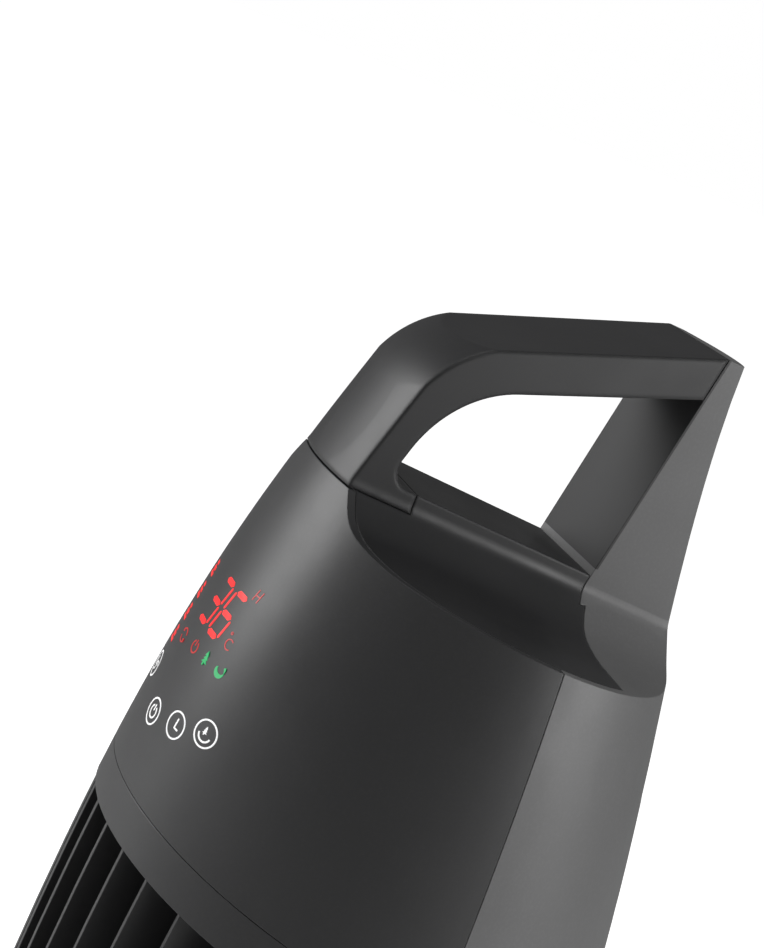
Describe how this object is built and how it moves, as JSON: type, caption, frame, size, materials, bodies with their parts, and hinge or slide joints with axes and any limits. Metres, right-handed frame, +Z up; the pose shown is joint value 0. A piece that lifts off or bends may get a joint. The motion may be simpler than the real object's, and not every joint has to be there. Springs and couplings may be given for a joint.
{
  "type": "tower fan",
  "caption": "Tapered tower fan with a tall finned air outlet, a looped carrying handle and a round base that it swings on.",
  "frame": {"origin": "centre of the round base on the floor, under the feet", "axes": "+Z up; air leaves towards -Y, the carrying handle's column is at +Y; +X is the fan's left as seen by someone behind it"},
  "size_m": [0.3, 0.3, 0.9],
  "materials": {
    "front_shell": "fine satin moulded, dark charcoal",
    "fin_plastic": "satin moulded, dark charcoal",
    "saddle_plastic": "satin moulded, dark charcoal",
    "strap_plastic": "satin moulded, near black",
    "grip_rubber": "soft matte rubber",
    "rear_shell": "satin moulded, mid grey",
    "intake_plastic": "satin moulded, mid grey",
    "base_shell": "satin-gloss moulded, dark charcoal",
    "underside_plastic": "matte moulded, near black",
    "foot_rubber": "matte rubber",
    "screw_steel": "zinc plated",
    "shaft_steel": "ground and bright",
    "ballast_steel": "dull steel plate",
    "motor_steel": "galvanised pressing",
    "bracket_steel": "galvanised pressing",
    "gear_plastic": "natural acetal",
    "duct_plastic": "plain moulded, charcoal",
    "impeller_plastic": "glass-filled moulded, dark grey",
    "bearing_bronze": "sintered bronze",
    "circuit_board": "green solder mask",
    "component_plastic": "moulded black parts",
    "lamp_plastic": "white diffuser plastic"
  },
  "bodies": {
    "base": {"rubber_feet": "foot_rubber", "base_plate": "underside_plastic", "base_screws": "screw_steel", "ballast_plate": "ballast_steel", "base_cover": "base_shell", "cord_gland": "foot_rubber", "spindle": "gear_plastic", "retaining_ring": "gear_plastic", "slip_washer": "gear_plastic", "turn_motor": "motor_steel", "turn_motor_screws": "screw_steel"},
    "pinion": {"drive_pinion": "gear_plastic"},
    "tower": {"turn_gear": "gear_plastic", "gear_screws": "screw_steel", "tower_floor": "underside_plastic", "grille_frame": "front_shell", "outlet_fins": "fin_plastic", "control_cap": "front_shell", "saddle_cover": "saddle_plastic", "handle_strap": "strap_plastic", "handle_grip": "grip_rubber", "strap_screws": "screw_steel", "rear_housing": "rear_shell", "intake_grille": "intake_plastic", "housing_screws": "screw_steel", "duct_floor": "duct_plastic", "duct_ceiling": "duct_plastic", "outlet_roof": "duct_plastic", "scroll_wall": "duct_plastic", "vortex_tongue": "duct_plastic", "top_bearing": "bearing_bronze", "bearing_mount": "foot_rubber", "fan_motor": "motor_steel", "motor_bracket": "bracket_steel", "motor_isolators": "foot_rubber", "motor_screws": "screw_steel", "display_module": "lamp_plastic", "display_board": "circuit_board", "icon_lamps": "lamp_plastic", "touch_board": "circuit_board", "touch_springs": "shaft_steel", "ir_receiver": "lamp_plastic", "main_board": "circuit_board", "board_components": "component_plastic", "board_posts": "duct_plastic", "board_screws": "screw_steel"},
    "rotor": {"impeller": "impeller_plastic", "motor_shaft": "shaft_steel", "top_pin": "shaft_steel"}
  },
  "joints": [
    {"name": "tower_turn", "type": "hinge", "parent": "base", "child": "tower", "pos_m": [0, 0, 0.041], "axis": [0, 0, 1], "range_deg": [-40, 40]},
    {"name": "pinion_spin", "type": "hinge", "parent": "base", "child": "pinion", "pos_m": [0, 0.054, 0.034], "axis": [0, 0, 1], "range_deg": [-205, 205]},
    {"name": "impeller_spin", "type": "hinge", "parent": "tower", "child": "rotor", "pos_m": [0, 0.022, 0.4], "axis": [0, 0, 1], "continuous": true}
  ],
  "couplings": [
    {"joint": "pinion_spin", "follows": "tower_turn", "ratio": -5}
  ]
}
